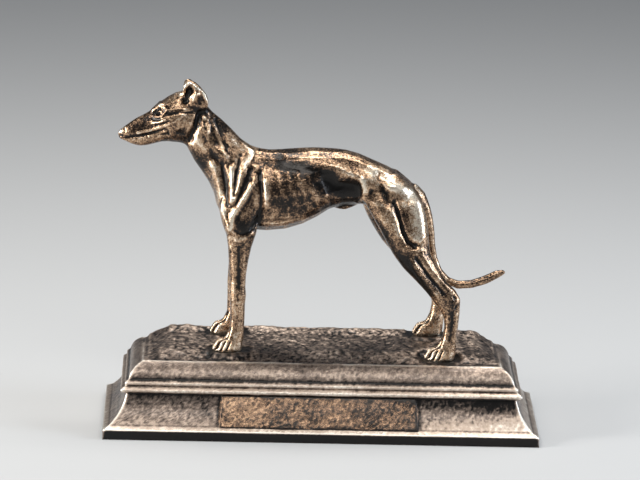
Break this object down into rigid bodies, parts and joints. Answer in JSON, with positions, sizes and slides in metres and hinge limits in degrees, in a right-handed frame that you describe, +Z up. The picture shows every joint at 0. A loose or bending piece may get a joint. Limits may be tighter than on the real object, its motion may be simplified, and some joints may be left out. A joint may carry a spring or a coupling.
{
  "type": "greyhound statue",
  "caption": "Cast greyhound standing on a stepped rectangular plinth with rough ground, in dark metal with rubbed bronze highlights.",
  "frame": {"origin": "centre of the plinth's flat underside", "axes": "+Z up, +X along the plinth from the dog's nose to its tail, -Y out of the near long side"},
  "size_m": [0.28, 0.108, 0.226],
  "materials": {
    "figure": "dark brown patina, semi-gloss, rubbed to copper and pale bronze on raised parts",
    "plinth": "near-black patina, satin, rubbed to pale bronze on the mouldings' edges, grainy on top"
  },
  "bodies": {
    "root": {"greyhound": "figure", "plinth": "plinth"}
  },
  "joints": []
}
